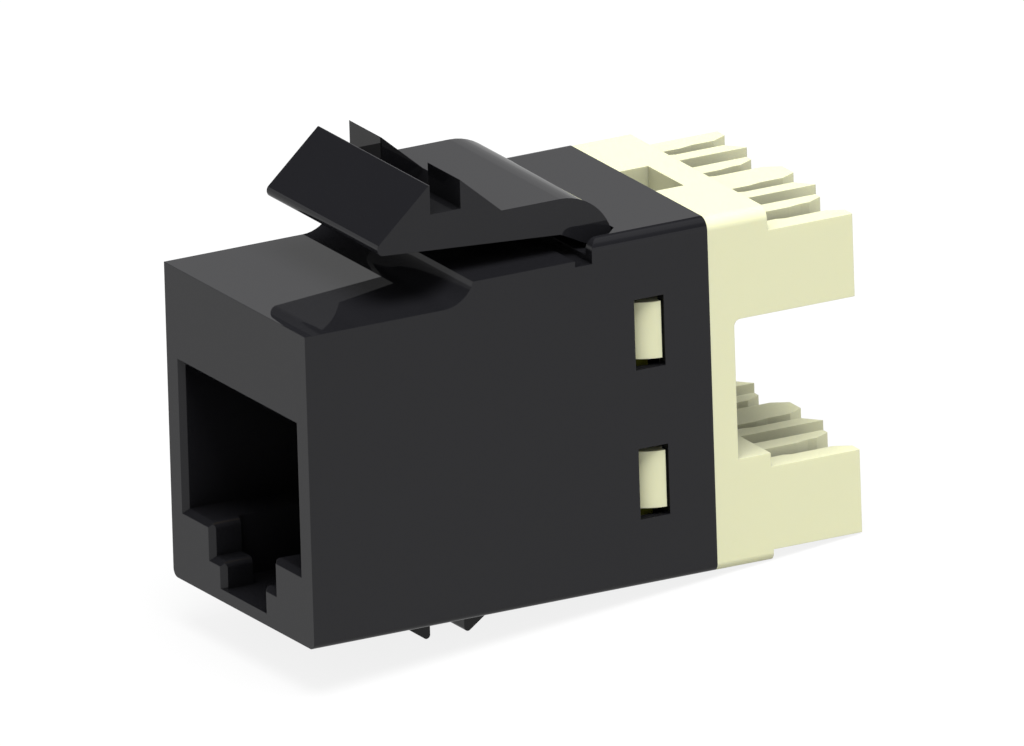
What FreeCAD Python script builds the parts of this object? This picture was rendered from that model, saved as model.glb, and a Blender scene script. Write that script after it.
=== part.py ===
# A keystone jack: an 8-way modular socket that snaps into a panel, with two rows of
# wire towers at its rear. Millimetres. X is the width, Y the depth, Z up.
# The pieces are drawn from the front face (Y = 0 there, rising to the rear, Z = 0 on the
# underside) and moved as the last step, so that the finished part has its origin on the
# underside, midway between the two hooks that grip the panel's lower edge.
import FreeCAD, Part
import math
import os

# Housing
BODY_W = 14.5            # across the two sides
BODY_L = 22.63           # front face to the seam with the wire block
FRONT_H = 16.25          # underside to the flat roof at the front
MID_RISE = 1.17          # step up of the roof behind the panel
REAR_RISE = 2.04         # step up of the rear block above the front roof
CURVE_RUN = 1.7          # length of the hollow curve in front of the raised roof
CURVE_BACK = 1.45        # panel's front to the sharp edge at the top of that curve
REAR_BLOCK_START = 16.16 # front face to the front of the rear block's side walls
RELIEF_RUN = 0.96        # shallow groove in front of the rear block
RELIEF_D = 0.3
TOP_EDGE_R = 0.6         # upper edges of the rear block
BOTTOM_EDGE_R = 0.42     # long lower edges
SIDE_WALL = 0.65         # sides of the rear cavity and of the latch arm's pocket
CAVITY_L = 5.7
CAVITY_FLOOR = 1.05
CAVITY_ROOF = 1.25       # from the roof over the cavity down to the cavity

# Plug opening, with the plug's latch at the bottom
PORT_W = 11.75
PORT_FLOOR = 3.78
PORT_H = 7.47
PORT_DEPTH = 13.6
SHOULDER_W = 6.4         # step for the foot of the plug's latch
SHOULDER_D = 1.73        # depth of that step below the port's floor
TAB_W = 4.2              # slot for the latch's tab
TAB_D = 1.42             # depth of that slot below the shoulder
LIP_T = 1.7              # front lip that the plug's latch catches behind
CATCH_W = 7.2            # room for the latch behind the lip
CATCH_L = 7.3
PORT_CHAMFER = 0.28
STEP_R = 0.35            # rounded corners of the two steps

# Panel: hooks on the underside and a slot in the latch arm
PANEL_FACE = 8.05        # front face of the jack to the front of the panel
LOWER_GAP = 1.92
UPPER_GAP = 1.7
HOOK_W = 8.6
HOOK_DROP = 1.78         # to the tip before it is rounded
HOOK_RUN = 2.5           # length of the sloped side
HOOK_TIP_R = 0.2

# Latch arm, heights above the flat front roof
ARM_W = 11.4
ARM_TIP_Y = 4.53         # where the barb's slope and the underside would meet
ARM_TIP_LOW = 2.88
ARM_NOSE_R = 0.35
ARM_BARB_TOP = 5.98
ARM_RIDGE_T = 0.06       # flat on top of the barb
ARM_SLOT_FLOOR = 4.49
ARM_FLAT = 3.97
ARM_RAMP_RUN = 2.28      # slope behind the rear flange
ARM_NOTCH_W = 4.75       # notch between the two rear flanges
ARM_NOTCH_D = 0.9        # below the arm's flat top
ARM_NOTCH_RUN = 0.63     # length of the notch's sloped rear wall
ARM_ROOT_LOW = 2.12      # underside at the root
PIVOT_Y = 15.3           # centre of the rounded root, where the arm flexes
PIVOT_RISE = 1.03
ARM_NECK_RUN = 1.75      # the underside falls to the pocket's floor over this length
ARM_NECK_R = 0.8         # rounding where it begins to fall
ARM_GAP = 0.06           # between the root and its seat
POCKET_CORNER = 0.75     # slanted rear corners of the pocket, along the depth

# Windows in the sides and the lugs that snap into them
WINDOW_BACK = 2.55       # seam to the window's rear edge
WINDOW_L = 1.66
WINDOW_H = 3.65
LOWER_WINDOW_Z = 5.29
WINDOW_PITCH = 7.72
LUG_H = 2.93
LUG_SHY = 0.15           # lug's face below the side of the housing
LUG_GAP = 0.09           # lug's catch to the window's rear edge
LUG_RAMP_GAP = 0.2       # window's front edge to the foot of the lug's ramp
LUG_BULGE = 0.72         # share of the lug's rise that it has at half its length
SLIT_ABOVE = 0.6         # slits above and below the finger that carries a lug
SLIT_BELOW = 1.0
FINGER_L = 4.2

# Wire block: the tray inside the housing, and the flange behind the seam
BLOCK_GAP = 0.08         # tray to the cavity's walls
TRAY_WALL = 0.72
TRAY_FLOOR = 0.9         # lower and upper walls of the tray
LEDGE = 0.3              # shelf that the board rests against
FLANGE_T = 1.34
FLANGE_STEP = 0.04       # top of the flange below the top of the housing
LOWER_THICK_T = 3.15     # flange where the towers stand on it
UPPER_THICK_T = 3.35
LOWER_THICK_H = 5.59
TOWER_REACH = 8.11       # seam to the end of the right outer wall
TOWER_H = 4.54
RIGHT_WALL_DROP = 0.26   # top of that wall below the tops of the others
LOWER_TOWER_Z = 0.59
UPPER_TOWER_Z = 12.8
RECESS_R = 0.35          # rounded corner where the flange meets the upper towers
KEY_W = 3.7              # recess in the top edge, at the seam
KEY_L = 1.65
KEY_D = 1.3

# Wire slots of a tower, seen from above
INNER_SLOT_X = 1.49
OUTER_WALL = 1.65        # middle of the outer slot to the tower's side
SLOT_W = 0.9
PINCH_W = 0.6
LEFT_PINCH_L = 5.65      # seam to the end of the pinched stretch, on the slot's left wall
LEFT_TAPER = 0.7
RIGHT_PINCH_L = 4.55
RIGHT_TAPER = 0.45
MOUTH_FLARE = 0.46       # flared end of a wall, measured from that wall's own end
MOUTH_L = 0.85
RELIEF_SLOT_W = 1.35     # straight gap between the two fins of a pair
LONG_FIN_EXTRA = 0.35
SHORT_FIN_CUT = 0.4
FIN_SLANT = 0.8

# Wire forks in the towers
FORK_T = 0.4
FORK_W = 2.0
FORK_IN = 0.62           # forks lie this much nearer the middle than the towers do
FORK_SLIT = 0.3
FORK_START = 0.3         # seam to the fork's root
FORK_ROOT_L = 2.5
FORK_REACH = 6.9         # seam to the tips of the tines
FORK_MOUTH = 0.75
FORK_LEG_W = 0.6
FORK_LEG_IN = 0.6        # the outer forks' legs stand in from their slots
FORK_GAP = 0.06          # fork to the wire block all round

# Circuit board
BOARD_BACK = 3.93        # seam to the board's front
BOARD_T = 1.2
BOARD_GAP = 0.07         # board to the tray
HOLE_R = 0.4
PIN_PROUD = 0.4          # pins stand out of the board

# Spring contacts and the carrier that holds them
CONTACTS = 8
CONTACT_PITCH = 1.016
WIRE_W = 0.4
WIRE_T = 0.35
WIRE_RISE = 0.85         # middle of the straight part above the port's ceiling
BEND_Y = 4.7
BEND_R = 0.75
WIRE_DROP_DEG = 28.0
WIRE_TIP_Y = 12.4
CARRIER_START = 3.9
CARRIER_LIFT = 0.1       # carrier above the port's ceiling
CARRIER_T = 2.17
COMB_START = 11.2
COMB_T = 2.3
COMB_DROP = 4.25         # comb's lower end below the port's ceiling
COMB_SLOT_W = 0.56
CARRIER_GAP = 0.08       # carrier to the housing
GROOVE_GAP = 0.08        # wire to the carrier

# Levels and faces that several pieces share
PANEL_SETBACK = PANEL_FACE + LOWER_GAP / 2
MID_H = FRONT_H + MID_RISE
REAR_H = FRONT_H + REAR_RISE
CURVE_END = PANEL_FACE + CURVE_BACK
SHOULDER_FLOOR = PORT_FLOOR - SHOULDER_D
TAB_FLOOR = SHOULDER_FLOOR - TAB_D
PORT_TOP = PORT_FLOOR + PORT_H
CAVITY_W = BODY_W - 2 * SIDE_WALL
CAVITY_START = BODY_L - CAVITY_L
CAVITY_TOP = MID_H - CAVITY_ROOF
PIVOT_Z = FRONT_H + PIVOT_RISE
ROOT_R = ARM_FLAT - PIVOT_RISE
UPPER_GAP_END = PANEL_FACE + UPPER_GAP
WINDOW_END = BODY_L - WINDOW_BACK
LUG_L = WINDOW_L - LUG_RAMP_GAP - LUG_GAP
FLANGE_END = BODY_L + FLANGE_T
FLANGE_H = REAR_H - FLANGE_STEP
LOWER_THICK_END = BODY_L + LOWER_THICK_T
UPPER_THICK_END = BODY_L + UPPER_THICK_T
TOWER_END = BODY_L + TOWER_REACH
LONG_END = TOWER_END + LONG_FIN_EXTRA
SHORT_END = TOWER_END - SHORT_FIN_CUT
OUTER_SLOT_X = BODY_W / 2 - OUTER_WALL
TRAY_W = CAVITY_W - 2 * BLOCK_GAP
TRAY_LOW = CAVITY_FLOOR + BLOCK_GAP
TRAY_TOP = CAVITY_TOP - BLOCK_GAP
BOARD_W = TRAY_W - 2 * TRAY_WALL - 2 * BOARD_GAP
BOARD_START = BODY_L - BOARD_BACK
BOARD_END = BOARD_START + BOARD_T
CARRIER_W = BOARD_W - 2 * CARRIER_GAP    # the carrier's room lines up with the board
WIRE_Z = PORT_TOP + WIRE_RISE
CARRIER_FLOOR = PORT_TOP + CARRIER_LIFT
CARRIER_TOP = CARRIER_FLOOR + CARRIER_T
COMB_LOW = PORT_TOP - COMB_DROP
PAST = 1.0               # how far a cutting tool runs past a face


def box(x0, x1, y0, y1, z0, z1):
    return Part.makeBox(x1 - x0, y1 - y0, z1 - z0, FreeCAD.Vector(x0, y0, z0))


def bar(width, y0, y1, z0, z1):
    """A block centred on the middle plane."""
    return box(-width / 2, width / 2, y0, y1, z0, z1)


def side_profile(points, width):
    """Extrude a closed outline of (Y, Z) points across the width."""
    wire = Part.makePolygon([FreeCAD.Vector(-width / 2, y, z) for y, z in points + points[:1]])
    return Part.Face(wire).extrude(FreeCAD.Vector(width, 0, 0))


def plan_profile(points, z0, height):
    """Extrude a closed outline of (X, Y) points upwards."""
    wire = Part.makePolygon([FreeCAD.Vector(x, y, z0) for x, y in points + points[:1]])
    return Part.Face(wire).extrude(FreeCAD.Vector(0, 0, height))


def mirrored(points):
    """The right half of an outline, followed by its mirror image on the left."""
    return points + [(-x, y) for x, y in reversed(points)]


def edges_at(shape, wanted):
    """The edges whose two ends and middle all pass a test on the point."""
    found = []
    for edge in shape.Edges:
        points = [vertex.Point for vertex in edge.Vertexes] + [edge.CenterOfMass]
        if all(wanted(point) for point in points):
            found.append(edge)
    return found


def near(value, target):
    return abs(value - target) < 1e-4


def roof_curve_block():
    """Everything above the front roof, with the hollow curve at its front."""
    start_y = CURVE_END - CURVE_RUN
    # the arc is tangent to the flat roof and ends at the sharp edge
    radius = (CURVE_RUN ** 2 + MID_RISE ** 2) / (2 * MID_RISE)
    half_angle = math.atan2(CURVE_RUN, radius - MID_RISE) / 2
    middle_y = start_y + radius * math.sin(half_angle)
    middle_z = FRONT_H + radius * (1 - math.cos(half_angle))
    x = -BODY_W / 2
    start = FreeCAD.Vector(x, start_y, FRONT_H)
    end = FreeCAD.Vector(x, CURVE_END, MID_H)
    low = FRONT_H - PAST
    corners = [end, FreeCAD.Vector(x, REAR_BLOCK_START, MID_H), FreeCAD.Vector(x, REAR_BLOCK_START, low),
               FreeCAD.Vector(x, start_y, low), start]
    edges = [Part.Arc(start, FreeCAD.Vector(x, middle_y, middle_z), end).toShape()]
    for a, b in zip(corners[:-1], corners[1:]):
        edges.append(Part.makeLine(a, b))
    return Part.Face(Part.Wire(edges)).extrude(FreeCAD.Vector(BODY_W, 0, 0))


def hook(tip_y, run):
    """A wedge across the underside, upright on the panel's side and sloped on the other."""
    outline = [(tip_y, PAST / 2), (tip_y, -HOOK_DROP), (tip_y + run, 0), (tip_y + run, PAST / 2)]
    wedge = side_profile(outline, HOOK_W)
    tip = edges_at(wedge, lambda p: near(p.z, -HOOK_DROP))
    return wedge.makeFillet(HOOK_TIP_R, tip)


def port_outline(grow):
    """The plug opening's outline in X and Z, widened by grow. The floor of the tab's slot stays."""
    body = PORT_W / 2 + grow
    shoulder = SHOULDER_W / 2 + grow
    tab = TAB_W / 2 + grow
    return mirrored([(tab, TAB_FLOOR), (tab, SHOULDER_FLOOR - grow), (shoulder, SHOULDER_FLOOR - grow),
                     (shoulder, PORT_FLOOR - grow), (body, PORT_FLOOR - grow), (body, PORT_TOP + grow)])


def port_wire(grow, y):
    points = [FreeCAD.Vector(x, y, z) for x, z in port_outline(grow)]
    return Part.makePolygon(points + points[:1])


def port_cut():
    tool = Part.Face(port_wire(0, 0)).extrude(FreeCAD.Vector(0, PORT_DEPTH, 0))
    steps = edges_at(tool, lambda p: (near(abs(p.x), SHOULDER_W / 2) and near(p.z, PORT_FLOOR))
                     or (near(abs(p.x), TAB_W / 2) and near(p.z, SHOULDER_FLOOR)))
    tool = tool.makeFillet(STEP_R, steps)
    # the chamfer's tool starts a little outside the face, on the same slope
    wires = [port_wire(2 * PORT_CHAMFER, -PORT_CHAMFER), port_wire(0, PORT_CHAMFER)]
    mouth = Part.makeLoft(wires, True, True)
    catch = bar(CATCH_W, LIP_T, LIP_T + CATCH_L, TAB_FLOOR, PORT_FLOOR + PAST)
    return tool.fuse([mouth, catch])


def carrier_cut():
    """Room above the plug for the contact carrier, open to the cavity at the rear."""
    wide = CARRIER_W + 2 * CARRIER_GAP
    end = CAVITY_START + PAST
    top = CARRIER_TOP + CARRIER_GAP
    low = CARRIER_FLOOR - CARRIER_GAP
    upper = bar(wide, CARRIER_START - CARRIER_GAP, end, low, top)
    comb = bar(wide, COMB_START, end, COMB_LOW - CARRIER_GAP, top)
    bends = bar(CONTACT_PITCH * CONTACTS + WIRE_W, BEND_Y - 2 * BEND_R, CARRIER_START + PAST,
                PORT_TOP - PAST, WIRE_Z + WIRE_T)
    return upper.fuse([comb, bends])


def window_levels():
    return [LOWER_WINDOW_Z, LOWER_WINDOW_Z + WINDOW_PITCH]


def window_cut(z_mid):
    z0 = z_mid - WINDOW_H / 2
    return bar(BODY_W + 2 * PAST, WINDOW_END - WINDOW_L, WINDOW_END, z0, z0 + WINDOW_H)


def root_cylinder(radius, width):
    start = FreeCAD.Vector(-width / 2, PIVOT_Y, PIVOT_Z)
    return Part.makeCylinder(radius, width, start, FreeCAD.Vector(1, 0, 0))


def arm_pocket_cut():
    """The pocket for the arm's root: open to the front and the top, with a round rear wall.

    Its sides leave room beside the arm, and its rear corners slant in to the arm's width.
    """
    wide = BODY_W / 2 - SIDE_WALL
    narrow = ARM_W / 2 + ARM_GAP
    rear = PIVOT_Y + ROOT_R + ARM_GAP
    slant = PIVOT_Y + ROOT_R - POCKET_CORNER
    right_half = [(wide, PIVOT_Y), (wide, slant), (narrow, rear)]
    room = plan_profile(mirrored(right_half), MID_H, REAR_RISE + PAST)
    seat = root_cylinder(ROOT_R + ARM_GAP, 2 * wide)
    front = bar(2 * wide, PIVOT_Y, PIVOT_Y + ROOT_R / 2, MID_H, REAR_H + PAST)
    return seat.common(room).fuse(front)


def housing():
    body = bar(BODY_W, 0, BODY_L, 0, FRONT_H)
    rear = bar(BODY_W, REAR_BLOCK_START, BODY_L, FRONT_H - PAST, REAR_H)
    body = body.fuse([roof_curve_block(), rear]).removeSplitter()
    top = edges_at(body, lambda p: near(abs(p.x), BODY_W / 2) and near(p.z, REAR_H))
    top += edges_at(body, lambda p: near(p.y, REAR_BLOCK_START) and near(p.z, REAR_H))
    bottom = edges_at(body, lambda p: near(abs(p.x), BODY_W / 2) and near(p.z, 0))
    body = body.makeFillet(TOP_EDGE_R, top).makeFillet(BOTTOM_EDGE_R, bottom)
    body = body.fuse([hook(PANEL_FACE, -HOOK_RUN), hook(PANEL_FACE + LOWER_GAP, HOOK_RUN)])
    relief_start = REAR_BLOCK_START - RELIEF_RUN
    relief = bar(BODY_W + 2 * PAST, relief_start, REAR_BLOCK_START, MID_H - RELIEF_D, MID_H + PAST)
    cavity = bar(CAVITY_W, CAVITY_START, BODY_L + PAST, CAVITY_FLOOR, CAVITY_TOP)
    tools = [port_cut(), carrier_cut(), relief, cavity, arm_pocket_cut()]
    tools += [window_cut(z) for z in window_levels()]
    for tool in tools:
        body = body.cut(tool)
    return body.removeSplitter()


def arm_profile():
    """Nose, barb, panel slot, rear flange and flat top, as (Y, Z) points."""
    flange_end = UPPER_GAP_END + ARM_RAMP_RUN
    points = [
        (ARM_TIP_Y, ARM_TIP_LOW),
        (PANEL_FACE - ARM_RIDGE_T, ARM_BARB_TOP),
        (PANEL_FACE, ARM_BARB_TOP),
        (PANEL_FACE, ARM_SLOT_FLOOR),
        (UPPER_GAP_END, ARM_SLOT_FLOOR),
        (UPPER_GAP_END, ARM_BARB_TOP),
        (flange_end, ARM_FLAT),
        (PIVOT_Y, ARM_FLAT),
        (PIVOT_Y, ARM_ROOT_LOW),
    ]
    return [(y, FRONT_H + z) for y, z in points]


def arm_notch():
    """The gap between the two rear flanges, with a rear wall that slopes down and forwards."""
    rear = UPPER_GAP_END + ARM_RAMP_RUN
    floor = FRONT_H + ARM_FLAT - ARM_NOTCH_D
    high = FRONT_H + ARM_BARB_TOP + PAST
    return side_profile([(UPPER_GAP_END, floor), (rear - ARM_NOTCH_RUN, floor), (rear, FRONT_H + ARM_FLAT),
                         (rear, high), (UPPER_GAP_END, high)], ARM_NOTCH_W)


def under_arm_cut():
    """What is taken from under the arm's root: it falls from the underside to the pocket's floor."""
    low = MID_H - PAST
    high = FRONT_H + ARM_ROOT_LOW
    floor = MID_H + ARM_GAP
    tool = side_profile([(0, low), (0, high), (PIVOT_Y, high), (PIVOT_Y + ARM_NECK_RUN, floor),
                         (PIVOT_Y + ARM_NECK_RUN, low)], ARM_W + 2 * PAST)
    start = edges_at(tool, lambda p: near(p.y, PIVOT_Y) and near(p.z, high))
    return tool.makeFillet(ARM_NECK_R, start)


def latch_arm():
    """One bar on its side profile, with a rounded root that flexes in the housing's pocket."""
    arm = side_profile(arm_profile(), ARM_W)
    nose = edges_at(arm, lambda p: near(p.y, ARM_TIP_Y) and near(p.z, FRONT_H + ARM_TIP_LOW))
    arm = arm.makeFillet(ARM_NOSE_R, nose)
    room = bar(ARM_W, PIVOT_Y, PIVOT_Y + 2 * ROOT_R, MID_H + ARM_GAP, REAR_H + 2 * ROOT_R)
    root = root_cylinder(ROOT_R, ARM_W).common(room).cut(under_arm_cut())
    return arm.fuse(root).cut(arm_notch()).removeSplitter()


def slot_outline(x_mid, left_end, right_end):
    """A wire slot from above: pinched, then parallel, then flared towards the ends of its walls.

    A wall whose end is given as None is slanted there instead of flared.
    """
    half = SLOT_W / 2
    pinch = PINCH_W / 2
    past = LONG_END + PAST
    right_wall = (1, right_end, BODY_L + RIGHT_PINCH_L, RIGHT_TAPER)
    left_wall = (-1, left_end, BODY_L + LEFT_PINCH_L, LEFT_TAPER)
    outline = []
    for side, wall_end, pinch_end, taper in (right_wall, left_wall):
        edge = [(pinch, LOWER_THICK_END), (pinch, pinch_end), (half, pinch_end + taper)]
        if wall_end is None:
            edge.append((half, past))
        else:
            mouth = wall_end - MOUTH_L
            edge.append((half, mouth))
            edge.append((half + MOUTH_FLARE * (past - mouth) / MOUTH_L, past))
        outline.append([(x_mid + side * x, y) for x, y in edge])
    return outline[0] + outline[1][::-1]


def fin_end_cuts(z0, tall):
    """The left fin of each pair is long and slanted, the right one short."""
    past = LONG_END + PAST
    slots = [-OUTER_SLOT_X, -INNER_SLOT_X, INNER_SLOT_X, OUTER_SLOT_X]
    cuts = []
    for left, right in (slots[:2], slots[2:]):
        middle = (left + right) / 2
        corner = middle - RELIEF_SLOT_W / 2
        slope = FIN_SLANT / (corner - left - SLOT_W / 2)
        drop = slope * (corner - left)
        outline = [(left, LONG_END - drop), (corner, LONG_END), (corner, past), (left, past)]
        cuts.append(plan_profile(outline, z0, tall))
        cuts.append(box(middle, right, SHORT_END, past, z0, z0 + tall))
    return cuts


def tower(z0):
    """One row of towers: a bar with four wire slots, two gaps and shaped ends."""
    low = z0 - PAST
    tall = TOWER_H + 2 * PAST
    past = LONG_END + PAST
    slots = [(-OUTER_SLOT_X, LONG_END, None), (-INNER_SLOT_X, SHORT_END, LONG_END),
             (INNER_SLOT_X, LONG_END, None), (OUTER_SLOT_X, SHORT_END, TOWER_END)]
    cuts = fin_end_cuts(low, tall)
    for x_mid, left_end, right_end in slots:
        cuts.append(plan_profile(slot_outline(x_mid, left_end, right_end), low, tall))
    for side in (-1, 1):
        x0 = side * (INNER_SLOT_X + OUTER_SLOT_X) / 2 - RELIEF_SLOT_W / 2
        cuts.append(box(x0, x0 + RELIEF_SLOT_W, LOWER_THICK_END, past, low, low + tall))
    # the right outer wall ends sooner and lower than the others
    x_out = BODY_W / 2 + PAST
    top = z0 + TOWER_H
    cuts.append(box(OUTER_SLOT_X, x_out, TOWER_END, past, low, low + tall))
    cuts.append(box(OUTER_SLOT_X, x_out, LOWER_THICK_END, past, top - RIGHT_WALL_DROP, top + PAST))
    solid = bar(BODY_W, LOWER_THICK_END - PAST, LONG_END, z0, top)
    for tool in cuts:
        solid = solid.cut(tool)
    return solid


def lug(side, z_mid):
    """A rounded ramp that ends in an upright catch, standing on the tray's side."""
    catch_y = WINDOW_END - LUG_GAP
    root = TRAY_W / 2
    face = BODY_W / 2 - LUG_SHY
    inner = root - TRAY_WALL / 2
    z0 = z_mid - LUG_H / 2
    start = FreeCAD.Vector(root, catch_y - LUG_L, z0)
    middle = FreeCAD.Vector(root + LUG_BULGE * (face - root), catch_y - LUG_L / 2, z0)
    end = FreeCAD.Vector(face, catch_y, z0)
    edges = [Part.Arc(start, middle, end).toShape(), Part.makeLine(end, FreeCAD.Vector(inner, catch_y, z0)),
             Part.makeLine(FreeCAD.Vector(inner, catch_y, z0), FreeCAD.Vector(inner, start.y, z0)),
             Part.makeLine(FreeCAD.Vector(inner, start.y, z0), start)]
    solid = Part.Face(Part.Wire(edges)).extrude(FreeCAD.Vector(0, 0, LUG_H))
    if side < 0:
        solid = solid.mirror(FreeCAD.Vector(0, 0, 0), FreeCAD.Vector(1, 0, 0))
    return solid


def finger_cuts(z_mid):
    """Slits above and below each lug, which free the finger that it stands on."""
    cuts = []
    start = CAVITY_START
    low = z_mid - LUG_H / 2
    for z0, z1 in ((low - SLIT_BELOW, low), (low + LUG_H, low + LUG_H + SLIT_ABOVE)):
        cuts.append(bar(TRAY_W + PAST, start, start + FINGER_L, z0, z1))
    return cuts


def tray():
    """The front of the wire block: four walls round the board, which rests against a ledge."""
    start = CAVITY_START + BLOCK_GAP
    seat_w = TRAY_W - 2 * TRAY_WALL
    seat_low = TRAY_LOW + TRAY_FLOOR
    seat_top = TRAY_TOP - TRAY_FLOOR
    solid = bar(TRAY_W, start, BODY_L + FLANGE_T / 2, TRAY_LOW, TRAY_TOP)
    solid = solid.cut(bar(seat_w, start - PAST, BOARD_END, seat_low, seat_top))
    behind = bar(seat_w - 2 * LEDGE, BOARD_END - PAST, BODY_L, seat_low + LEDGE, seat_top - LEDGE)
    solid = solid.cut(behind)
    for z_mid in window_levels():
        for tool in finger_cuts(z_mid):
            solid = solid.cut(tool.common(bar(BODY_W, start - PAST, BODY_L, TRAY_LOW, TRAY_TOP)))
        solid = solid.fuse([lug(-1, z_mid), lug(1, z_mid)])
    return solid


def rear_plate():
    """The flange behind the seam, thicker where the towers stand on it."""
    flange = bar(BODY_W, BODY_L, FLANGE_END, 0, FLANGE_H)
    lower = bar(BODY_W, BODY_L, LOWER_THICK_END, 0, LOWER_THICK_H)
    upper = bar(BODY_W, BODY_L, UPPER_THICK_END, UPPER_TOWER_Z, FLANGE_H)
    plate = flange.fuse([lower, upper]).removeSplitter()
    corner = edges_at(plate, lambda p: near(p.y, FLANGE_END) and near(p.z, UPPER_TOWER_Z))
    plate = plate.makeFillet(RECESS_R, corner)
    top = edges_at(plate, lambda p: near(abs(p.x), BODY_W / 2) and near(p.z, FLANGE_H))
    plate = plate.makeFillet(TOP_EDGE_R, top)
    bottom = edges_at(plate, lambda p: near(abs(p.x), BODY_W / 2) and near(p.z, 0))
    return plate.makeFillet(BOTTOM_EDGE_R, bottom)


def fork_places():
    """Name, slot position and level of the eight forks, four in each row of towers."""
    places = []
    middle = TOWER_H / 2
    rows = (("upper", UPPER_TOWER_Z + middle - FORK_IN), ("lower", LOWER_TOWER_Z + middle + FORK_IN))
    for row, z_mid in rows:
        for i, x in enumerate((-OUTER_SLOT_X, -INNER_SLOT_X, INNER_SLOT_X, OUTER_SLOT_X)):
            places.append(("wire_fork_%s_%d" % (row, i + 1), x, z_mid))
    return places


def leg_x(slot_x):
    """The legs of the outer forks stand in towards the middle, onto the board."""
    if abs(slot_x) > INNER_SLOT_X:
        return slot_x - math.copysign(FORK_LEG_IN, slot_x)
    return slot_x


def fork_shape(slot_x, z_mid, grow):
    """A flat strip: a leg through the board, and a wider root and tines in the tower."""
    z0 = z_mid - FORK_T / 2 - grow
    tall = FORK_T + 2 * grow
    half = FORK_W / 2 + grow
    leg = FORK_LEG_W / 2 + grow
    leg_mid = leg_x(slot_x)
    root = BODY_L + FORK_START
    tips = BODY_L + FORK_REACH
    blade = box(slot_x - half, slot_x + half, root - grow, tips + grow, z0, z0 + tall)
    foot = box(leg_mid - leg, leg_mid + leg, BOARD_START - PIN_PROUD, root + grow + FORK_T, z0, z0 + tall)
    return blade.fuse(foot)


def fork(slot_x, z_mid):
    """The strip with the slit that cuts into the wire, widened at its mouth."""
    half = FORK_SLIT / 2
    tips = BODY_L + FORK_REACH
    root_end = BODY_L + FORK_START + FORK_ROOT_L
    slit = mirrored([(half, root_end), (half, tips - FORK_MOUTH), (half + FORK_MOUTH, tips + FORK_MOUTH / 2)])
    tool = plan_profile([(slot_x + x, y) for x, y in slit], z_mid - FORK_T, 2 * FORK_T)
    return fork_shape(slot_x, z_mid, 0).cut(tool).removeSplitter()


def wire_block():
    solid = rear_plate().fuse([tray(), tower(LOWER_TOWER_Z), tower(UPPER_TOWER_Z)])
    solid = solid.cut(bar(KEY_W, BODY_L, BODY_L + KEY_L, FLANGE_H - KEY_D, FLANGE_H + PAST))
    for name, slot_x, z_mid in fork_places():
        solid = solid.cut(fork_shape(slot_x, z_mid, FORK_GAP))
    return solid.removeSplitter()


def wire_path(offset):
    """Corners of the spring contact's line, moved sideways by offset: top, front, low end and tip."""
    drop = math.radians(WIRE_DROP_DEG)
    centre_z = WIRE_Z - BEND_R
    radius = BEND_R + offset
    # the bend turns from pointing forwards, round the front, to pointing down and back
    turn_end = math.pi + math.pi / 2 - drop
    top = FreeCAD.Vector(0, BEND_Y, centre_z + radius)
    front = FreeCAD.Vector(0, BEND_Y - radius, centre_z)
    low = FreeCAD.Vector(0, BEND_Y + radius * math.cos(turn_end), centre_z + radius * math.sin(turn_end))
    tip = FreeCAD.Vector(0, WIRE_TIP_Y, low.z - (WIRE_TIP_Y - low.y) * math.tan(drop))
    return top, front, low, tip


def spring_contact(x_mid):
    """A flat wire: tail through the board, straight run, bend at the front, sloping arm."""
    outer = wire_path(WIRE_T / 2)
    inner = wire_path(-WIRE_T / 2)
    tail_y = BOARD_END + PIN_PROUD
    tail_outer = FreeCAD.Vector(0, tail_y, outer[0].z)
    tail_inner = FreeCAD.Vector(0, tail_y, inner[0].z)
    edges = [
        Part.makeLine(tail_outer, outer[0]),
        Part.Arc(outer[0], outer[1], outer[2]).toShape(),
        Part.makeLine(outer[2], outer[3]),
        Part.makeLine(outer[3], inner[3]),
        Part.makeLine(inner[3], inner[2]),
        Part.Arc(inner[2], inner[1], inner[0]).toShape(),
        Part.makeLine(inner[0], tail_inner),
        Part.makeLine(tail_inner, tail_outer),
    ]
    face = Part.Face(Part.Wire(edges))
    face.translate(FreeCAD.Vector(x_mid - WIRE_W / 2, 0, 0))
    return face.extrude(FreeCAD.Vector(WIRE_W, 0, 0))


def contact_places():
    first = -(CONTACTS - 1) / 2 * CONTACT_PITCH
    return [first + i * CONTACT_PITCH for i in range(CONTACTS)]


def contact_carrier():
    """A plate over the opening with a groove for each wire, and a comb at the back of the opening."""
    solid = bar(CARRIER_W, CARRIER_START, BOARD_START, CARRIER_FLOOR, CARRIER_TOP)
    solid = solid.fuse(bar(CARRIER_W, COMB_START, COMB_START + COMB_T, COMB_LOW, CARRIER_TOP))
    groove_top = WIRE_Z + WIRE_T / 2 + GROOVE_GAP
    low = COMB_LOW - PAST
    for x in contact_places():
        half = WIRE_W / 2 + GROOVE_GAP
        groove = box(x - half, x + half, CARRIER_START - PAST, BOARD_START + PAST, PORT_TOP, groove_top)
        half = COMB_SLOT_W / 2
        slot = box(x - half, x + half, COMB_START - PAST, WIRE_TIP_Y + WIRE_T, low, groove_top)
        solid = solid.cut(groove).cut(slot)
    return solid.removeSplitter()


def circuit_board():
    low = TRAY_LOW + TRAY_FLOOR + BOARD_GAP
    board = bar(BOARD_W, BOARD_START, BOARD_END, low, TRAY_TOP - TRAY_FLOOR - BOARD_GAP)
    holes = [(x, WIRE_Z) for x in contact_places()]
    holes += [(leg_x(slot_x), z_mid) for name, slot_x, z_mid in fork_places()]
    for x, z in holes:
        start = FreeCAD.Vector(x, BOARD_START - PAST, z)
        board = board.cut(Part.makeCylinder(HOLE_R, BOARD_T + 2 * PAST, start, FreeCAD.Vector(0, 1, 0)))
    return board


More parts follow.
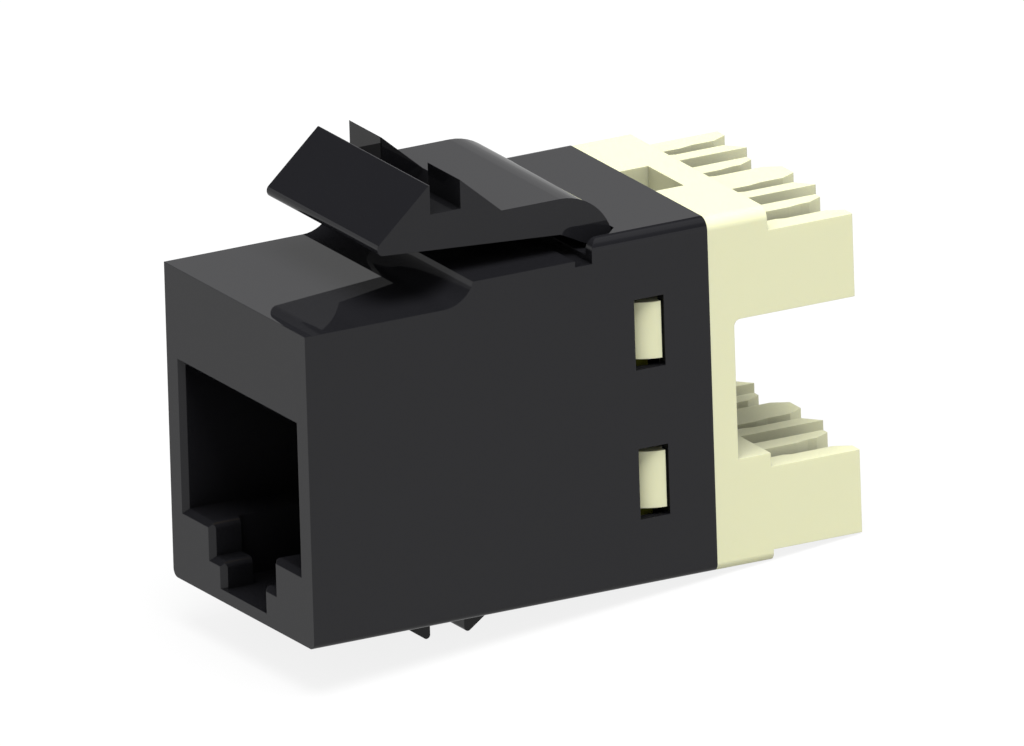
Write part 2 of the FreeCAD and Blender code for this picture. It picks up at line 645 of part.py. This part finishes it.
def save(name, shape):
    """Move a piece from the front face's frame to the panel's and write it."""
    shape = shape.copy()
    shape.translate(FreeCAD.Vector(0, -PANEL_SETBACK, 0))
    shape.exportStep(os.path.join("parts", name + ".step"))
    print(name, "solids", len(shape.Solids), "valid", shape.isValid(), "volume", round(shape.Volume, 2))


def main():
    os.makedirs("parts", exist_ok=True)
    save("housing", housing())
    save("latch_arm", latch_arm())
    save("wire_block", wire_block())
    save("circuit_board", circuit_board())
    save("contact_carrier", contact_carrier())
    for i, x in enumerate(contact_places()):
        save("spring_contact_%d" % (i + 1), spring_contact(x))
    for name, slot_x, z_mid in fork_places():
        save(name, fork(slot_x, z_mid))


main()
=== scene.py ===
# %% [markdown]
# # A keystone jack
# This lesson dresses a small snap-in network socket: a glossy black housing with a latch
# arm on its roof, a cream wire block at its rear, and metal contacts inside. The solids
# come from a CAD model in metres, and this script adds what the eye needs: the finish of
# each piece, solder on the circuit board, a floor, soft light and the camera.

# %% Load the solids
import math

import bpy
from mathutils import Matrix, Vector


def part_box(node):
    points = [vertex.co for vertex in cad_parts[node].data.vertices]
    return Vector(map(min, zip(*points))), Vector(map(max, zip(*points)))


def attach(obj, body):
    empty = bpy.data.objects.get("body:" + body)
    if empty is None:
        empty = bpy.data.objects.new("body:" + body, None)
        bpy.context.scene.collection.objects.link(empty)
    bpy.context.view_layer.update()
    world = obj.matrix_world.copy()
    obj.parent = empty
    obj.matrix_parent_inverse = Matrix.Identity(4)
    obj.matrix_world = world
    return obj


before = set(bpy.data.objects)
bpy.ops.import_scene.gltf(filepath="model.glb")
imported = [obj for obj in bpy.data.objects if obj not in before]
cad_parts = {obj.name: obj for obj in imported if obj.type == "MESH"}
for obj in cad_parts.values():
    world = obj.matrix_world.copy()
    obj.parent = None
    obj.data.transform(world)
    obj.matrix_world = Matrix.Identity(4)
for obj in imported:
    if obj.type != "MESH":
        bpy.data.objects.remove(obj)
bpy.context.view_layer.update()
MM = 0.001

# %% [markdown]
# ## The camera
# The picture has no vanishing points, so it was taken with parallel lines of sight. An
# orthographic camera does the same. Its direction is given by two angles, as on a globe,
# and it leans a little to one side. What it aims at is a point on the jack's middle plane.

# %% Camera
PICTURE_WIDTH_PX = 1024
PIXELS_PER_MM = 20.31
AZIMUTH_DEG = 61.97
ELEVATION_DEG = 18.02
LEAN_DEG = -1.80
AIM_MM = (0.0, 6.347, 9.652)
CAMERA_DISTANCE_MM = 300.0
NEAREST_SEEN_MM = 10.0
FARTHEST_SEEN_MM = 5000.0


def camera_turn():
    """The camera's turn: lean about its own axis, tip up, then walk round the object."""
    lean = Matrix.Rotation(math.radians(LEAN_DEG), 4, "Z")
    tip = Matrix.Rotation(math.radians(90 - ELEVATION_DEG), 4, "X")
    walk = Matrix.Rotation(math.radians(AZIMUTH_DEG), 4, "Z")
    return walk @ tip @ lean


def add_camera():
    """The camera, on its line of sight through the point that it aims at."""
    lens = bpy.data.cameras.new("camera")
    lens.type = "ORTHO"
    lens.ortho_scale = PICTURE_WIDTH_PX / PIXELS_PER_MM * MM
    lens.clip_start = NEAREST_SEEN_MM * MM
    lens.clip_end = FARTHEST_SEEN_MM * MM
    camera = bpy.data.objects.new("camera", lens)
    bpy.context.scene.collection.objects.link(camera)
    turn = camera_turn()
    back = turn @ Vector((0, 0, 1))
    place = (Vector(AIM_MM) + back * CAMERA_DISTANCE_MM) * MM
    camera.matrix_world = Matrix.Translation(place) @ turn
    bpy.context.scene.camera = camera
    return camera


camera = add_camera()
print("picture width in mm:", round(camera.data.ortho_scale / MM, 2))

# %% [markdown]
# ## Helpers for shader nodes
# Every material here is a small network of nodes. A few helpers keep the code short: they
# add a node and set its sockets, and they make a group with named inputs and outputs, so
# that an effect is built once and used in many materials.

# %% Node helpers


def add_node(tree, kind, place=(0, 0), **values):
    """A node with some of its sockets set by name. Spaces in a socket's name are underscores."""
    node = tree.nodes.new(kind)
    node.location = place
    for name, value in values.items():
        node.inputs[name.replace("_", " ")].default_value = value
    return node


def add_math(tree, operation, place, *values):
    """A Math node. Each value is a number or a socket to link. Gives its output."""
    node = tree.nodes.new("ShaderNodeMath")
    node.operation = operation
    node.location = place
    for socket, value in zip(node.inputs, values):
        if isinstance(value, (int, float)):
            socket.default_value = value
        else:
            tree.links.new(value, socket)
    return node.outputs[0]


def new_group(name, inputs, outputs):
    """A shader group. inputs gives name, socket type and default, outputs name and type."""
    group = bpy.data.node_groups.new(name, "ShaderNodeTree")
    for label, kind, default in inputs:
        socket = group.interface.new_socket(label, in_out="INPUT", socket_type=kind)
        socket.default_value = default
    for label, kind in outputs:
        group.interface.new_socket(label, in_out="OUTPUT", socket_type=kind)
    entry = group.nodes.new("NodeGroupInput")
    entry.location = (-900, 0)
    leave = group.nodes.new("NodeGroupOutput")
    leave.location = (700, 0)
    return group, entry.outputs, leave.inputs


def use_group(tree, group, place, **values):
    """A group placed in a material, with some of its inputs set by name."""
    node = add_node(tree, "ShaderNodeGroup", place)
    node.node_tree = group
    for name, value in values.items():
        node.inputs[name.replace("_", " ")].default_value = value
    return node


print("helpers:", [helper.__name__ for helper in (add_node, add_math, new_group, use_group)])

# %% [markdown]
# ## Moulded plastic
# A moulded part copies the steel of its mould. From a step away it is smooth, but close up
# it has a very fine grain, a slow waviness where the plastic shrank, and a colour that is
# never quite even. A picture wrapped on the part could give this, but one group of noise in
# the object's own coordinates needs no unwrapping and stays on the part when it moves.

# %% The moulded-skin group
SKIN_INPUTS = [
    ("Color", "NodeSocketColor", (0.5, 0.5, 0.5, 1)),
    ("Cloud Color", "NodeSocketColor", (0.4, 0.4, 0.4, 1)),
    ("Roughness", "NodeSocketFloat", 0.3),
    ("Roughness Spread", "NodeSocketFloat", 0.05),
    ("Grain Size", "NodeSocketFloat", 0.12 * MM),
    ("Wave Size", "NodeSocketFloat", 4 * MM),
    ("Wave Share", "NodeSocketFloat", 0.5),
]
SKIN_OUTPUTS = [
    ("Color", "NodeSocketColor"),
    ("Roughness", "NodeSocketFloat"),
    ("Height", "NodeSocketFloat"),
]
GRAIN_DETAIL = 3.0
WAVE_DETAIL = 1.0


def noise_of_size(group, size, place, detail):
    """Noise whose lumps are as large as a size in metres: its scale is one over the size."""
    scale = add_math(group, "DIVIDE", (place[0] - 200, place[1]), 1.0, size)
    where = add_node(group, "ShaderNodeTexCoord", (place[0] - 200, place[1] + 150))
    noise = add_node(group, "ShaderNodeTexNoise", place, Detail=detail, Roughness=0.5)
    group.links.new(where.outputs["Object"], noise.inputs["Vector"])
    group.links.new(scale, noise.inputs["Scale"])
    return noise.outputs["Fac"]


def moulded_skin_group():
    """Colour, roughness and height of a surface with a fine grain and a slow wave."""
    group, given, out = new_group("moulded skin", SKIN_INPUTS, SKIN_OUTPUTS)
    link = group.links.new
    grain = noise_of_size(group, given["Grain Size"], (-500, 200), GRAIN_DETAIL)
    wave = noise_of_size(group, given["Wave Size"], (-500, -200), WAVE_DETAIL)
    tint = add_node(group, "ShaderNodeMix", (100, 300))
    tint.data_type = "RGBA"
    link(wave, tint.inputs["Factor"])
    link(given["Color"], tint.inputs["A"])
    link(given["Cloud Color"], tint.inputs["B"])
    link(tint.outputs["Result"], out["Color"])
    rough = add_math(group, "MULTIPLY_ADD", (100, 0), grain, given["Roughness Spread"], given["Roughness"])
    link(rough, out["Roughness"])
    height = add_node(group, "ShaderNodeMix", (100, -200))
    link(given["Wave Share"], height.inputs["Factor"])
    link(grain, height.inputs["A"])
    link(wave, height.inputs["B"])
    link(height.outputs["Result"], out["Height"])
    return group


MOULDED_SKIN = moulded_skin_group()
print("moulded skin:", len(MOULDED_SKIN.nodes), "nodes")

# %% [markdown]
# ## Edges that catch the light
# No moulded or stamped edge is perfectly sharp. Real ones are rounded by a few hundredths
# of a millimetre, and that thin round line is what catches the light. It could be modelled
# with thousands of faces, but the Bevel node only bends the normal near an edge, and that
# is all the eye sees. One group serves every material.

# %% The rounded-edge group
EDGE_RADIUS_MM = 0.03
EDGE_SAMPLES = 6
EDGE_INPUTS = [
    ("Height", "NodeSocketFloat", 0.0),
    ("Depth", "NodeSocketFloat", 0.01 * MM),
]


def rounded_edge_group():
    """The normal of a surface with rounded edges and a grain of a given depth."""
    group, given, out = new_group("rounded edge", EDGE_INPUTS, [("Normal", "NodeSocketVector")])
    bevel = add_node(group, "ShaderNodeBevel", (-400, -200), Radius=EDGE_RADIUS_MM * MM)
    bevel.samples = EDGE_SAMPLES
    bump = add_node(group, "ShaderNodeBump", (200, 0))
    group.links.new(given["Height"], bump.inputs["Height"])
    group.links.new(given["Depth"], bump.inputs["Distance"])
    group.links.new(bevel.outputs["Normal"], bump.inputs["Normal"])
    group.links.new(bump.outputs["Normal"], out["Normal"])
    return group


ROUNDED_EDGE = rounded_edge_group()
print("edges rounded by", EDGE_RADIUS_MM, "mm")

# %% [markdown]
# ## Painted corner shade
# Slots and corners are darkened in their colour: this is painted shade, standing in for the
# light that is lost between their walls. They could be painted by hand, but the Ambient
# Occlusion node already knows how much of its surroundings a point can see. The group
# tints the colour where that is little, within a reach that fits the slots' size.

# %% The painted corner-shade group
HIDDEN = 0.40
OPEN = 0.95
CORNER_SAMPLES = 6
CORNER_INPUTS = [
    ("Color", "NodeSocketColor", (1, 1, 1, 1)),
    ("Tint", "NodeSocketColor", (0.5, 0.5, 0.5, 1)),
    ("Reach", "NodeSocketFloat", 4 * MM),
]


def painted_corner_shade_group():
    """A colour darkened by painted shade where the piece hides its own surroundings."""
    group, given, out = new_group("painted corner shade", CORNER_INPUTS, [("Color", "NodeSocketColor")])
    seen = add_node(group, "ShaderNodeAmbientOcclusion", (-500, 0))
    seen.samples = CORNER_SAMPLES
    seen.only_local = True
    group.links.new(given["Reach"], seen.inputs["Distance"])
    share = add_node(group, "ShaderNodeMapRange", (-300, 0), From_Min=HIDDEN, From_Max=OPEN)
    group.links.new(seen.outputs["AO"], share.inputs["Value"])
    amount = add_math(group, "SUBTRACT", (-150, 100), 1.0, share.outputs["Result"])
    shaded_color = add_node(group, "ShaderNodeMix", (0, 0))
    shaded_color.data_type = "RGBA"
    shaded_color.blend_type = "MULTIPLY"
    group.links.new(amount, shaded_color.inputs["Factor"])
    group.links.new(given["Color"], shaded_color.inputs["A"])
    group.links.new(given["Tint"], shaded_color.inputs["B"])
    group.links.new(shaded_color.outputs["Result"], out["Color"])
    return group


PAINTED_CORNER_SHADE = painted_corner_shade_group()
print("corners tinted where less than", OPEN, "of the surroundings is seen")

# %% [markdown]
# ## One recipe for every finish
# Each finish is a Principled shader that takes its colour, roughness and normal from the
# groups. The recipe is one function, so that a finish is only a few values: two colours,
# how rough it is, how deep its grain is and how large, and how dark and far its painted corner shade is.

# %% The recipe


def new_material(name):
    """An empty material with one Principled shader, ready to be wired."""
    material = bpy.data.materials.new(name)
    material.use_nodes = True
    tree = material.node_tree
    tree.nodes.clear()
    shader = add_node(tree, "ShaderNodeBsdfPrincipled", (200, 0))
    finish = add_node(tree, "ShaderNodeOutputMaterial", (500, 0))
    tree.links.new(shader.outputs["BSDF"], finish.inputs["Surface"])
    return material, tree, shader


def surface(name, color, cloud, roughness, depth_mm, grain_mm, wave_mm=4.0, spread=0.05,
            corner_shade=(0.6, 0.6, 0.6), shade_reach_mm=2.0):
    """A finish made of the groups above, wired to one Principled shader."""
    material, tree, shader = new_material(name)
    skin = use_group(
        tree, MOULDED_SKIN, (-500, 0), Color=(*color, 1), Cloud_Color=(*cloud, 1), Roughness=roughness,
        Roughness_Spread=spread, Grain_Size=grain_mm * MM, Wave_Size=wave_mm * MM)
    edge = use_group(tree, ROUNDED_EDGE, (-200, -200), Depth=depth_mm * MM)
    # Every finish gets painted shade: its colour is darkened in corners where the piece sees little of its
    # surroundings.
    deep = use_group(tree, PAINTED_CORNER_SHADE, (-200, 100), Tint=(*corner_shade, 1), Reach=shade_reach_mm * MM)
    tree.links.new(skin.outputs["Color"], deep.inputs["Color"])
    tree.links.new(deep.outputs["Color"], shader.inputs["Base Color"])
    tree.links.new(skin.outputs["Roughness"], shader.inputs["Roughness"])
    tree.links.new(skin.outputs["Height"], edge.inputs["Height"])
    tree.links.new(edge.outputs["Normal"], shader.inputs["Normal"])
    return material, shader


def paint(material, *names):
    """Give CAD pieces a material by their slots."""
    for name in names:
        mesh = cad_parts[name].data
        mesh.materials.clear()
        mesh.materials.append(material)
    print(material.name, "on", len(names), "pieces")


print("groups in each finish:", len(bpy.data.node_groups))

# %% [markdown]
# ## Housing and latch arm
# The housing is moulded in black polycarbonate from a polished mould, together with the
# latch arm. It is almost a mirror: what shows is less its own black than the pale room in
# it, strongest at a flat angle, as on the roof. So the base is nearly black, and a low
# roughness with the usual index of a plastic does the rest.

# %% Housing and latch arm
# The black takes strong painted shade in its corners, within a reach of 5 mm.
black_plastic, _ = surface(
    "glossy black plastic", color=(0.0126, 0.0126, 0.0146), cloud=(0.0136, 0.0136, 0.0158),
    roughness=0.008, spread=0.02, depth_mm=0.0001, grain_mm=0.12, corner_shade=(0.3, 0.3, 0.3), shade_reach_mm=5.0)
paint(black_plastic, "housing", "latch_arm")

# %% [markdown]
# ## Carrier inside the socket
# The comb that holds the spring contacts is moulded in a glass-filled black plastic, which
# comes out of the mould duller and with a coarser grain than the housing.

# %% Carrier
inner_plastic, _ = surface(
    "satin black plastic", color=(0.010, 0.010, 0.011), cloud=(0.013, 0.013, 0.014),
    roughness=0.35, depth_mm=0.004, grain_mm=0.08)
paint(inner_plastic, "contact_carrier")

# %% [markdown]
# ## Wire block
# The block with the wire towers is moulded in a cream plastic that lets a little light in.
# That light comes out again beside where it went in and softens the slots' shadows, which
# is what the shader's subsurface part does. A translucent shader would let it go right
# through, and a plain one would leave the thin fins too hard. Its corners also get painted
# shade, reaching further than the gap between the two rows is high, so that the upper row's shade is
# painted onto the lower as well as cast by the lamp.

# %% Wire block
cream_plastic, cream_shader = surface(
    "cream plastic", color=(0.85, 0.85, 0.560), cloud=(0.84, 0.84, 0.547),
    roughness=0.38, depth_mm=0.002, grain_mm=0.12, corner_shade=(0.58, 0.58, 0.66), shade_reach_mm=10.0)
cream_shader.inputs["Subsurface Weight"].default_value = 0.12
cream_shader.inputs["Subsurface Radius"].default_value = (0.8, 0.7, 0.4)
cream_shader.inputs["Subsurface Scale"].default_value = 0.6 * MM
paint(cream_plastic, "wire_block")

# %% [markdown]
# ## Metal
# The spring contacts are gold-plated wire and the forks tin-plated bronze sheet. Plating
# follows every line that rolling and stamping left, so it has a fine grain and is a little
# uneven in colour. A metal has no colour of its own beneath the gloss: with Metallic at one
# the base colour is the colour of the reflection.

# %% Metal
CONTACTS = ["spring_contact_%d" % i for i in range(1, 9)]
FORKS = ["wire_fork_%s_%d" % (row, i) for row in ("upper", "lower") for i in range(1, 5)]
gold, gold_shader = surface(
    "gold plating", color=(0.86, 0.62, 0.25), cloud=(0.78, 0.52, 0.20),
    roughness=0.18, depth_mm=0.001, grain_mm=0.05, wave_mm=0.8)
tin, tin_shader = surface(
    "tin plating", color=(0.74, 0.73, 0.70), cloud=(0.62, 0.61, 0.59),
    roughness=0.30, depth_mm=0.001, grain_mm=0.05, wave_mm=0.8)
for shader in (gold_shader, tin_shader):
    shader.inputs["Metallic"].default_value = 1.0
paint(gold, *CONTACTS)
paint(tin, *FORKS)

# %% [markdown]
# ## Circuit board
# The board joins each spring contact to its fork. Its glass laminate is covered with an
# olive green lacquer, which shows as a thin line at the foot of the side windows.

# %% Circuit board
# The board takes only a little painted shade in its corners.
board_green, _ = surface(
    "circuit board", color=(0.26, 0.27, 0.025), cloud=(0.20, 0.21, 0.020),
    roughness=0.30, depth_mm=0.004, grain_mm=0.10, wave_mm=1.5, corner_shade=(0.9, 0.9, 0.9))
paint(board_green, "circuit_board")

# %% [markdown]
# ## Solder joints
# Each pin that comes through the board stands in a small cone of solder. Sixteen of them
# could be copied by a loop, but this is what Geometry Nodes are for: the tree takes a
# handful of points, puts one cone on each, and ends as real mesh. The points are read from
# the pins themselves, so the solder stays on them. The contacts' pins come out at the back
# of the board, and the forks' pins at the front.

# %% Where the pins are
SAME_LEVEL_MM = 0.01


def pin_end(name, side):
    """The middle of a pin's end face. side is 1 for its end at the back, -1 for the front."""
    points = [v.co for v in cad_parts[name].data.vertices]
    reach = max(p.y * side for p in points)
    end = [p for p in points if p.y * side > reach - SAME_LEVEL_MM * MM]
    return [(min(p[i] for p in end) + max(p[i] for p in end)) / 2 for i in range(3)]


BOARD_LOW, BOARD_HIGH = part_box("circuit_board")
contact_pins = [(x, BOARD_HIGH.y, z) for x, y, z in (pin_end(name, 1) for name in CONTACTS)]
fork_pins = [(x, BOARD_LOW.y, z) for x, y, z in (pin_end(name, -1) for name in FORKS)]
print("pins at the back and the front:", len(contact_pins), len(fork_pins))

# %% [markdown]
# Melted solder wets the pad and climbs the pin, so its side is hollow: wide at the pad,
# steep at the pin. One joint starts as a straight tube of rings, and each ring is drawn in
# by a power of its height, which needs no drawn profile.

# %% One joint
HOLLOW_POWER = 2.2
JOINT_SIDES = 20
JOINT_RINGS = 6


def joint_shape(tree, given):
    """A solder joint: a tube of rings, drawn in from the pad's radius to the pin's."""
    link = tree.links.new
    tube = add_node(
        tree, "GeometryNodeMeshCone", (-900, 200), Vertices=JOINT_SIDES, Side_Segments=JOINT_RINGS)
    link(given["Pad Radius"], tube.inputs["Radius Top"])
    link(given["Pad Radius"], tube.inputs["Radius Bottom"])
    link(given["Height"], tube.inputs["Depth"])
    where = add_node(tree, "GeometryNodeInputPosition", (-1200, -300))
    apart = add_node(tree, "ShaderNodeSeparateXYZ", (-1000, -300))
    link(where.outputs[0], apart.inputs[0])
    level = add_math(tree, "DIVIDE", (-800, -300), apart.outputs["Z"], given["Height"])
    below = add_math(tree, "SUBTRACT", (-650, -300), 1.0, level)
    hollow = add_math(tree, "POWER", (-500, -300), below, HOLLOW_POWER)
    tip = add_math(tree, "DIVIDE", (-650, -500), given["Pin Radius"], given["Pad Radius"])
    rest = add_math(tree, "SUBTRACT", (-500, -500), 1.0, tip)
    share = add_math(tree, "MULTIPLY_ADD", (-350, -300), hollow, rest, tip)
    drawn = add_node(tree, "ShaderNodeCombineXYZ", (-50, -300))
    for axis in ("X", "Y"):
        link(add_math(tree, "MULTIPLY", (-200, -300), apart.outputs[axis], share), drawn.inputs[axis])
    link(apart.outputs["Z"], drawn.inputs["Z"])
    shaped = add_node(tree, "GeometryNodeSetPosition", (100, 200))
    link(tube.outputs["Mesh"], shaped.inputs["Geometry"])
    link(drawn.outputs[0], shaped.inputs["Position"])
    smooth = add_node(tree, "GeometryNodeSetShadeSmooth", (300, 200))
    link(shaped.outputs[0], smooth.inputs[0])
    return smooth.outputs[0]


print("a joint has", JOINT_RINGS, "rings of", JOINT_SIDES, "points")

# %% [markdown]
# The tree puts that joint on every point, turned to point out of the board. It ends with
# Realize Instances, because an exported model has no use for instances.

# %% The solder tree
SOLDER_SIZES = ("Pad Radius", "Pin Radius", "Height", "Turn")


def solder_tree():
    """Solder joints on points, with named inputs for their sizes, turn and material."""
    tree = bpy.data.node_groups.new("solder joints", "GeometryNodeTree")
    face = tree.interface
    face.new_socket("Points", in_out="INPUT", socket_type="NodeSocketGeometry")
    for label in SOLDER_SIZES:
        face.new_socket(label, in_out="INPUT", socket_type="NodeSocketFloat")
    face.new_socket("Material", in_out="INPUT", socket_type="NodeSocketMaterial")
    face.new_socket("Joints", in_out="OUTPUT", socket_type="NodeSocketGeometry")
    link = tree.links.new
    given = add_node(tree, "NodeGroupInput", (-1200, 0)).outputs
    turn = add_node(tree, "ShaderNodeCombineXYZ", (300, -100))
    link(given["Turn"], turn.inputs["X"])
    placed = add_node(tree, "GeometryNodeInstanceOnPoints", (500, 100))
    link(given["Points"], placed.inputs["Points"])
    link(joint_shape(tree, given), placed.inputs["Instance"])
    link(turn.outputs[0], placed.inputs["Rotation"])
    real = add_node(tree, "GeometryNodeRealizeInstances", (700, 100))
    link(placed.outputs[0], real.inputs[0])
    finish = add_node(tree, "GeometryNodeSetMaterial", (900, 100))
    link(real.outputs[0], finish.inputs["Geometry"])
    link(given["Material"], finish.inputs["Material"])
    leave = add_node(tree, "NodeGroupOutput", (1100, 100))
    link(finish.outputs[0], leave.inputs["Joints"])
    return tree


SOLDER_TREE = solder_tree()
print("solder tree:", len(SOLDER_TREE.nodes), "nodes")

# %% [markdown]
# The same tree serves both sides of the board with other values: the contacts' pins are
# thin wire with small pads, and the forks' pins are strips with larger ones. The modifier's
# result is taken as a plain mesh, because an exported model keeps no modifiers.

# %% Solder on the pins
SOLDER_SINK_MM = 0.01
solder, solder_shader = surface(
    "solder", color=(0.72, 0.72, 0.70), cloud=(0.58, 0.58, 0.57),
    roughness=0.22, depth_mm=0.002, grain_mm=0.06, wave_mm=0.5)
solder_shader.inputs["Metallic"].default_value = 1.0


def add_solder(name, places, side, pad_mm, pin_mm, height_mm):
    """One mesh with a joint at each place, pointing to the back (side 1) or the front (-1)."""
    mesh = bpy.data.meshes.new(name)
    mesh.from_pydata([(x, y - side * SOLDER_SINK_MM * MM, z) for x, y, z in places], [], [])
    piece = bpy.data.objects.new(name, mesh)
    bpy.context.scene.collection.objects.link(piece)
    modifier = piece.modifiers.new("joints", "NODES")
    modifier.node_group = SOLDER_TREE
    values = {"Pad Radius": pad_mm * MM, "Pin Radius": pin_mm * MM, "Height": height_mm * MM,
              "Turn": math.radians(-90 * side), "Material": solder}
    for item in SOLDER_TREE.interface.items_tree:
        if item.name in values:
            modifier[item.identifier] = values[item.name]
    ready = piece.evaluated_get(bpy.context.evaluated_depsgraph_get())
    solid = bpy.data.meshes.new_from_object(ready)
    piece.modifiers.clear()
    piece.data = solid
    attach(piece, "body")
    print(name, "has", len(solid.polygons), "faces")


add_solder("solder_at_contacts", contact_pins, side=1, pad_mm=0.47, pin_mm=0.27, height_mm=0.34)
add_solder("solder_at_forks", fork_pins, side=-1, pad_mm=0.55, pin_mm=0.36, height_mm=0.32)

# %% [markdown]
# ## The floor
# The jack lies on the tip of its rear hook and on the lower edge of its flange, so the
# floor is not level in the jack's own frame. It is a large plane that passes through those
# two edges, and its slope is worked out from them.

# %% Floor
FLOOR_HALF_M = 1.2
SAME_EDGE_MM = 0.02
HOUSING_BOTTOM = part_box("housing")[0].z
BLOCK_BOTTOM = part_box("wire_block")[0].z


def rearmost_y(name, level):
    """The greatest Y among a node's points at a level: the edge that meets the floor."""
    points = [v.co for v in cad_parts[name].data.vertices]
    return max(p.y for p in points if abs(p.z - level) < SAME_EDGE_MM * MM)


def add_floor():
    """The floor's plane, through the hook's tip and the flange's lower edge."""
    hook_y = rearmost_y("housing", HOUSING_BOTTOM)
    edge_y = rearmost_y("wire_block", BLOCK_BOTTOM)
    slope = math.atan2(BLOCK_BOTTOM - HOUSING_BOTTOM, edge_y - hook_y)
    corners = [(-FLOOR_HALF_M, -FLOOR_HALF_M, 0), (FLOOR_HALF_M, -FLOOR_HALF_M, 0),
               (FLOOR_HALF_M, FLOOR_HALF_M, 0), (-FLOOR_HALF_M, FLOOR_HALF_M, 0)]
    mesh = bpy.data.meshes.new("floor")
    mesh.from_pydata(corners, [], [(0, 1, 2, 3)])
    floor = bpy.data.objects.new("floor", mesh)
    bpy.context.scene.collection.objects.link(floor)
    floor.location = (0, hook_y, HOUSING_BOTTOM)
    floor.rotation_euler = (slope, 0, 0)
    print("floor slope in degrees:", round(math.degrees(slope), 2))
    return floor


floor = add_floor()

# %% [markdown]
# Three kinds of ray meet the floor. The light that it throws up at the jack is that of a
# matt grey card. Rays that mirror in the gloss see an even grey too, without the jack's own
# shadow, and the camera sees it pale with most of its shadow filled in. The Light Path node
# tells them apart; a second and third floor would do the same with more parts.

# %% The floor's paper
FLOOR_TONE = 0.36
FLOOR_ROUGHNESS = 0.9
FLOOR_SEEN = 1.25
FLOOR_MIRRORED = 0.475
SHADOW_FILL = 0.68


def dress_floor(floor):
    """Matt grey for light, an even grey for mirrored rays, and pale for the camera."""
    paper, tree, shader = new_material("pale floor")
    link = tree.links.new
    shader.inputs["Base Color"].default_value = (FLOOR_TONE, FLOOR_TONE, FLOOR_TONE, 1)
    shader.inputs["Roughness"].default_value = FLOOR_ROUGHNESS
    shader.inputs["Specular IOR Level"].default_value = 0.0
    ray = add_node(tree, "ShaderNodeLightPath", (-600, -300)).outputs
    seen = add_math(tree, "MULTIPLY", (-400, -200), ray["Is Camera Ray"], SHADOW_FILL)
    share = add_math(tree, "ADD", (-200, -200), seen, ray["Is Glossy Ray"])
    level = add_math(tree, "MULTIPLY_ADD", (-200, -400), ray["Is Glossy Ray"],
                     FLOOR_MIRRORED - FLOOR_SEEN, FLOOR_SEEN)
    glow = add_node(tree, "ShaderNodeEmission", (200, -300))
    mix = add_node(tree, "ShaderNodeMixShader", (400, 0))
    link(level, glow.inputs["Strength"])
    link(share, mix.inputs["Fac"])
    link(shader.outputs["BSDF"], mix.inputs[1])
    link(glow.outputs["Emission"], mix.inputs[2])
    link(mix.outputs["Shader"], tree.nodes["Material Output"].inputs["Surface"])
    paper.cycles.emission_sampling = "NONE"
    floor.data.materials.append(paper)


dress_floor(floor)
print("floor tone", FLOOR_TONE, "for light and", FLOOR_MIRRORED, "for mirrored rays")

# %% [markdown]
# ## Light
# The light is that of a studio: even from all sides, with a wide lamp high on the camera's
# side, so that tops are brighter than sides, and the lower towers lie in the shade of the
# upper ones. An even sky does the first and one wide sun the second. What mirrors in the
# black plastic is another matter: its roof shows a pale wall, and its slanted faces a dark
# ceiling. So mirrored rays see a room of their own, pale near the horizon, dark above and
# paler again overhead, and they don't see the lamp.

# %% The room
ROOM_LIGHT = 0.60
ROOM_SEEN = 1.0
MIRRORED_ROOM = [(-90, 0.40), (18.8, 0.40), (22, 0.01), (45, 0.01), (58, 0.26), (90, 0.26)]


def mirrored_room(tree):
    """The room that mirrored rays see: pairs of a height in degrees and a brightness."""
    where = add_node(tree, "ShaderNodeTexCoord", (-1200, 300))
    apart = add_node(tree, "ShaderNodeSeparateXYZ", (-1000, 300))
    tree.links.new(where.outputs["Generated"], apart.inputs[0])
    share = add_math(tree, "MULTIPLY_ADD", (-900, 300), apart.outputs["Z"], 0.5, 0.5)
    ramp = add_node(tree, "ShaderNodeValToRGB", (-800, 300))
    stops = ramp.color_ramp.elements
    while len(stops) < len(MIRRORED_ROOM):
        stops.new(0.5)
    for stop, (height_deg, level) in zip(stops, MIRRORED_ROOM):
        stop.position = 0.5 + 0.5 * math.sin(math.radians(height_deg))
        stop.color = (level, level, level, 1)
    tree.links.new(share, ramp.inputs["Fac"])
    return ramp.outputs["Color"]


def add_room():
    """An even white room for light, one for the camera and one for mirrored rays."""
    world = bpy.data.worlds.new("studio")
    bpy.context.scene.world = world
    world.use_nodes = True
    tree = world.node_tree
    back = tree.nodes["Background"]
    back.inputs["Color"].default_value = (1, 1, 1, 1)
    ray = add_node(tree, "ShaderNodeLightPath", (-800, 0)).outputs
    more = add_math(tree, "SUBTRACT", (-600, 200), mirrored_room(tree), ROOM_LIGHT)
    level = add_math(tree, "MULTIPLY_ADD", (-400, 100), ray["Is Glossy Ray"], more, ROOM_LIGHT)
    seen = add_math(
        tree, "MULTIPLY_ADD", (-200, 0), ray["Is Camera Ray"], ROOM_SEEN - ROOM_LIGHT, level)
    tree.links.new(seen, back.inputs["Strength"])


add_room()
print("room light", ROOM_LIGHT, "and", len(MIRRORED_ROOM), "stops in the mirrored room")

# %% [markdown]
# The lamp is a sun, because its light has the same direction all over the jack. Its wide
# angle makes the shadows' edges soft, as a large studio lamp does. The Standard view keeps
# white as white, which a photographic view would turn to grey.

# %% Lamp
LAMP_AZIMUTH_DEG = 75
LAMP_ELEVATION_DEG = 73
LAMP_STRENGTH = 3.6
LAMP_SPREAD_DEG = 40


def add_lamp():
    """A distant light that comes from a compass direction and a height."""
    sun = bpy.data.lights.new("high lamp", "SUN")
    sun.energy = LAMP_STRENGTH
    sun.angle = math.radians(LAMP_SPREAD_DEG)
    lamp = bpy.data.objects.new("high lamp", sun)
    bpy.context.scene.collection.objects.link(lamp)
    lamp.rotation_euler = (math.radians(90 - LAMP_ELEVATION_DEG), 0, math.radians(LAMP_AZIMUTH_DEG))
    lamp.visible_glossy = False


add_lamp()
bpy.context.scene.view_settings.view_transform = "Standard"
print("lamp", LAMP_ELEVATION_DEG, "degrees above the horizon")
